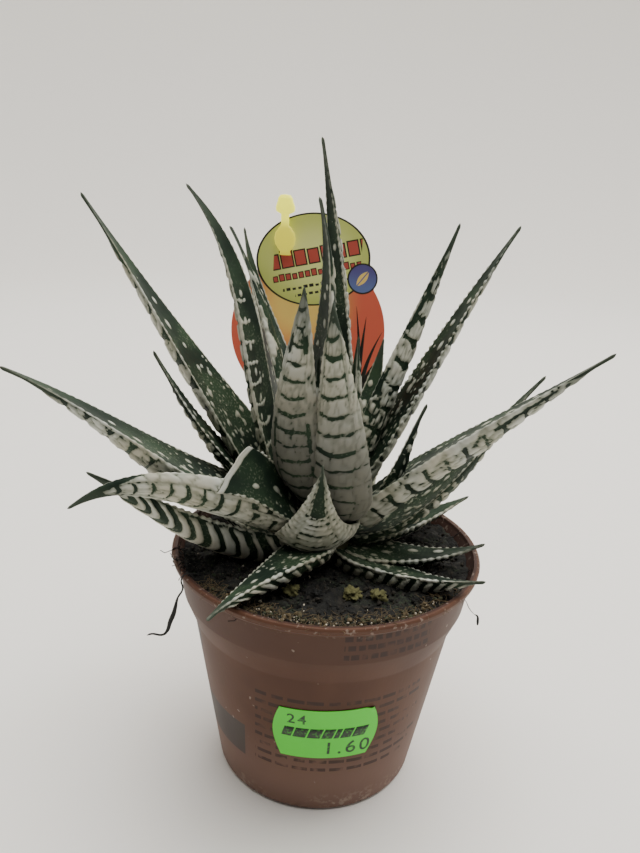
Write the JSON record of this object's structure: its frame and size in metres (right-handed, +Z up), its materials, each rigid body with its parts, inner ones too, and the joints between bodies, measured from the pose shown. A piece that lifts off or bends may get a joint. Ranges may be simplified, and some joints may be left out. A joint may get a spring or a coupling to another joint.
{
  "type": "potted haworthia",
  "caption": "Small succulent rosette of stiff dark green leaves with raised white bands and toothed edges, in a brown nursery pot with soil and a plant label.",
  "frame": {"origin": "on the pot's axis in the plane of its underside, where it rests", "axes": "+Z up along the pot's axis; -Y towards the side with the price label, which faces the camera in the picture; +X to the viewer's right"},
  "size_m": [0.1311, 0.1073, 0.1635],
  "materials": {
    "pot": "matt, terracotta brown",
    "soil": "matt, dark peat with light grit",
    "stem": "matt",
    "leaf": "satin dark green with raised white bands and spots",
    "price_label": "matt fluorescent green",
    "plant_label": "satin printed card",
    "label_stake": "satin, slightly see-through yellow",
    "root": "matt"
  },
  "bodies": {
    "root": {"pot": "pot", "soil": "soil", "stem": "stem", "price_label": "price_label", "plant_label": "plant_label", "label_stake": "label_stake", "hanging_root": "root", "leaf_01": "leaf", "leaf_02": "leaf", "leaf_03": "leaf", "leaf_04": "leaf", "leaf_05": "leaf", "leaf_06": "leaf", "leaf_07": "leaf", "leaf_08": "leaf", "leaf_09": "leaf", "leaf_10": "leaf", "leaf_11": "leaf", "leaf_12": "leaf", "leaf_13": "leaf", "leaf_14": "leaf", "leaf_15": "leaf", "leaf_16": "leaf", "leaf_17": "leaf", "leaf_18": "leaf", "leaf_19": "leaf", "leaf_20": "leaf", "leaf_21": "leaf", "leaf_22": "leaf", "leaf_23": "leaf", "leaf_24": "leaf", "leaf_25": "leaf", "leaf_26": "leaf", "leaf_27": "leaf", "leaf_28": "leaf", "leaf_29": "leaf", "leaf_30": "leaf", "leaf_31": "leaf", "leaf_32": "leaf", "leaf_33": "leaf", "leaf_34": "leaf", "leaf_35": "leaf"}
  },
  "joints": []
}
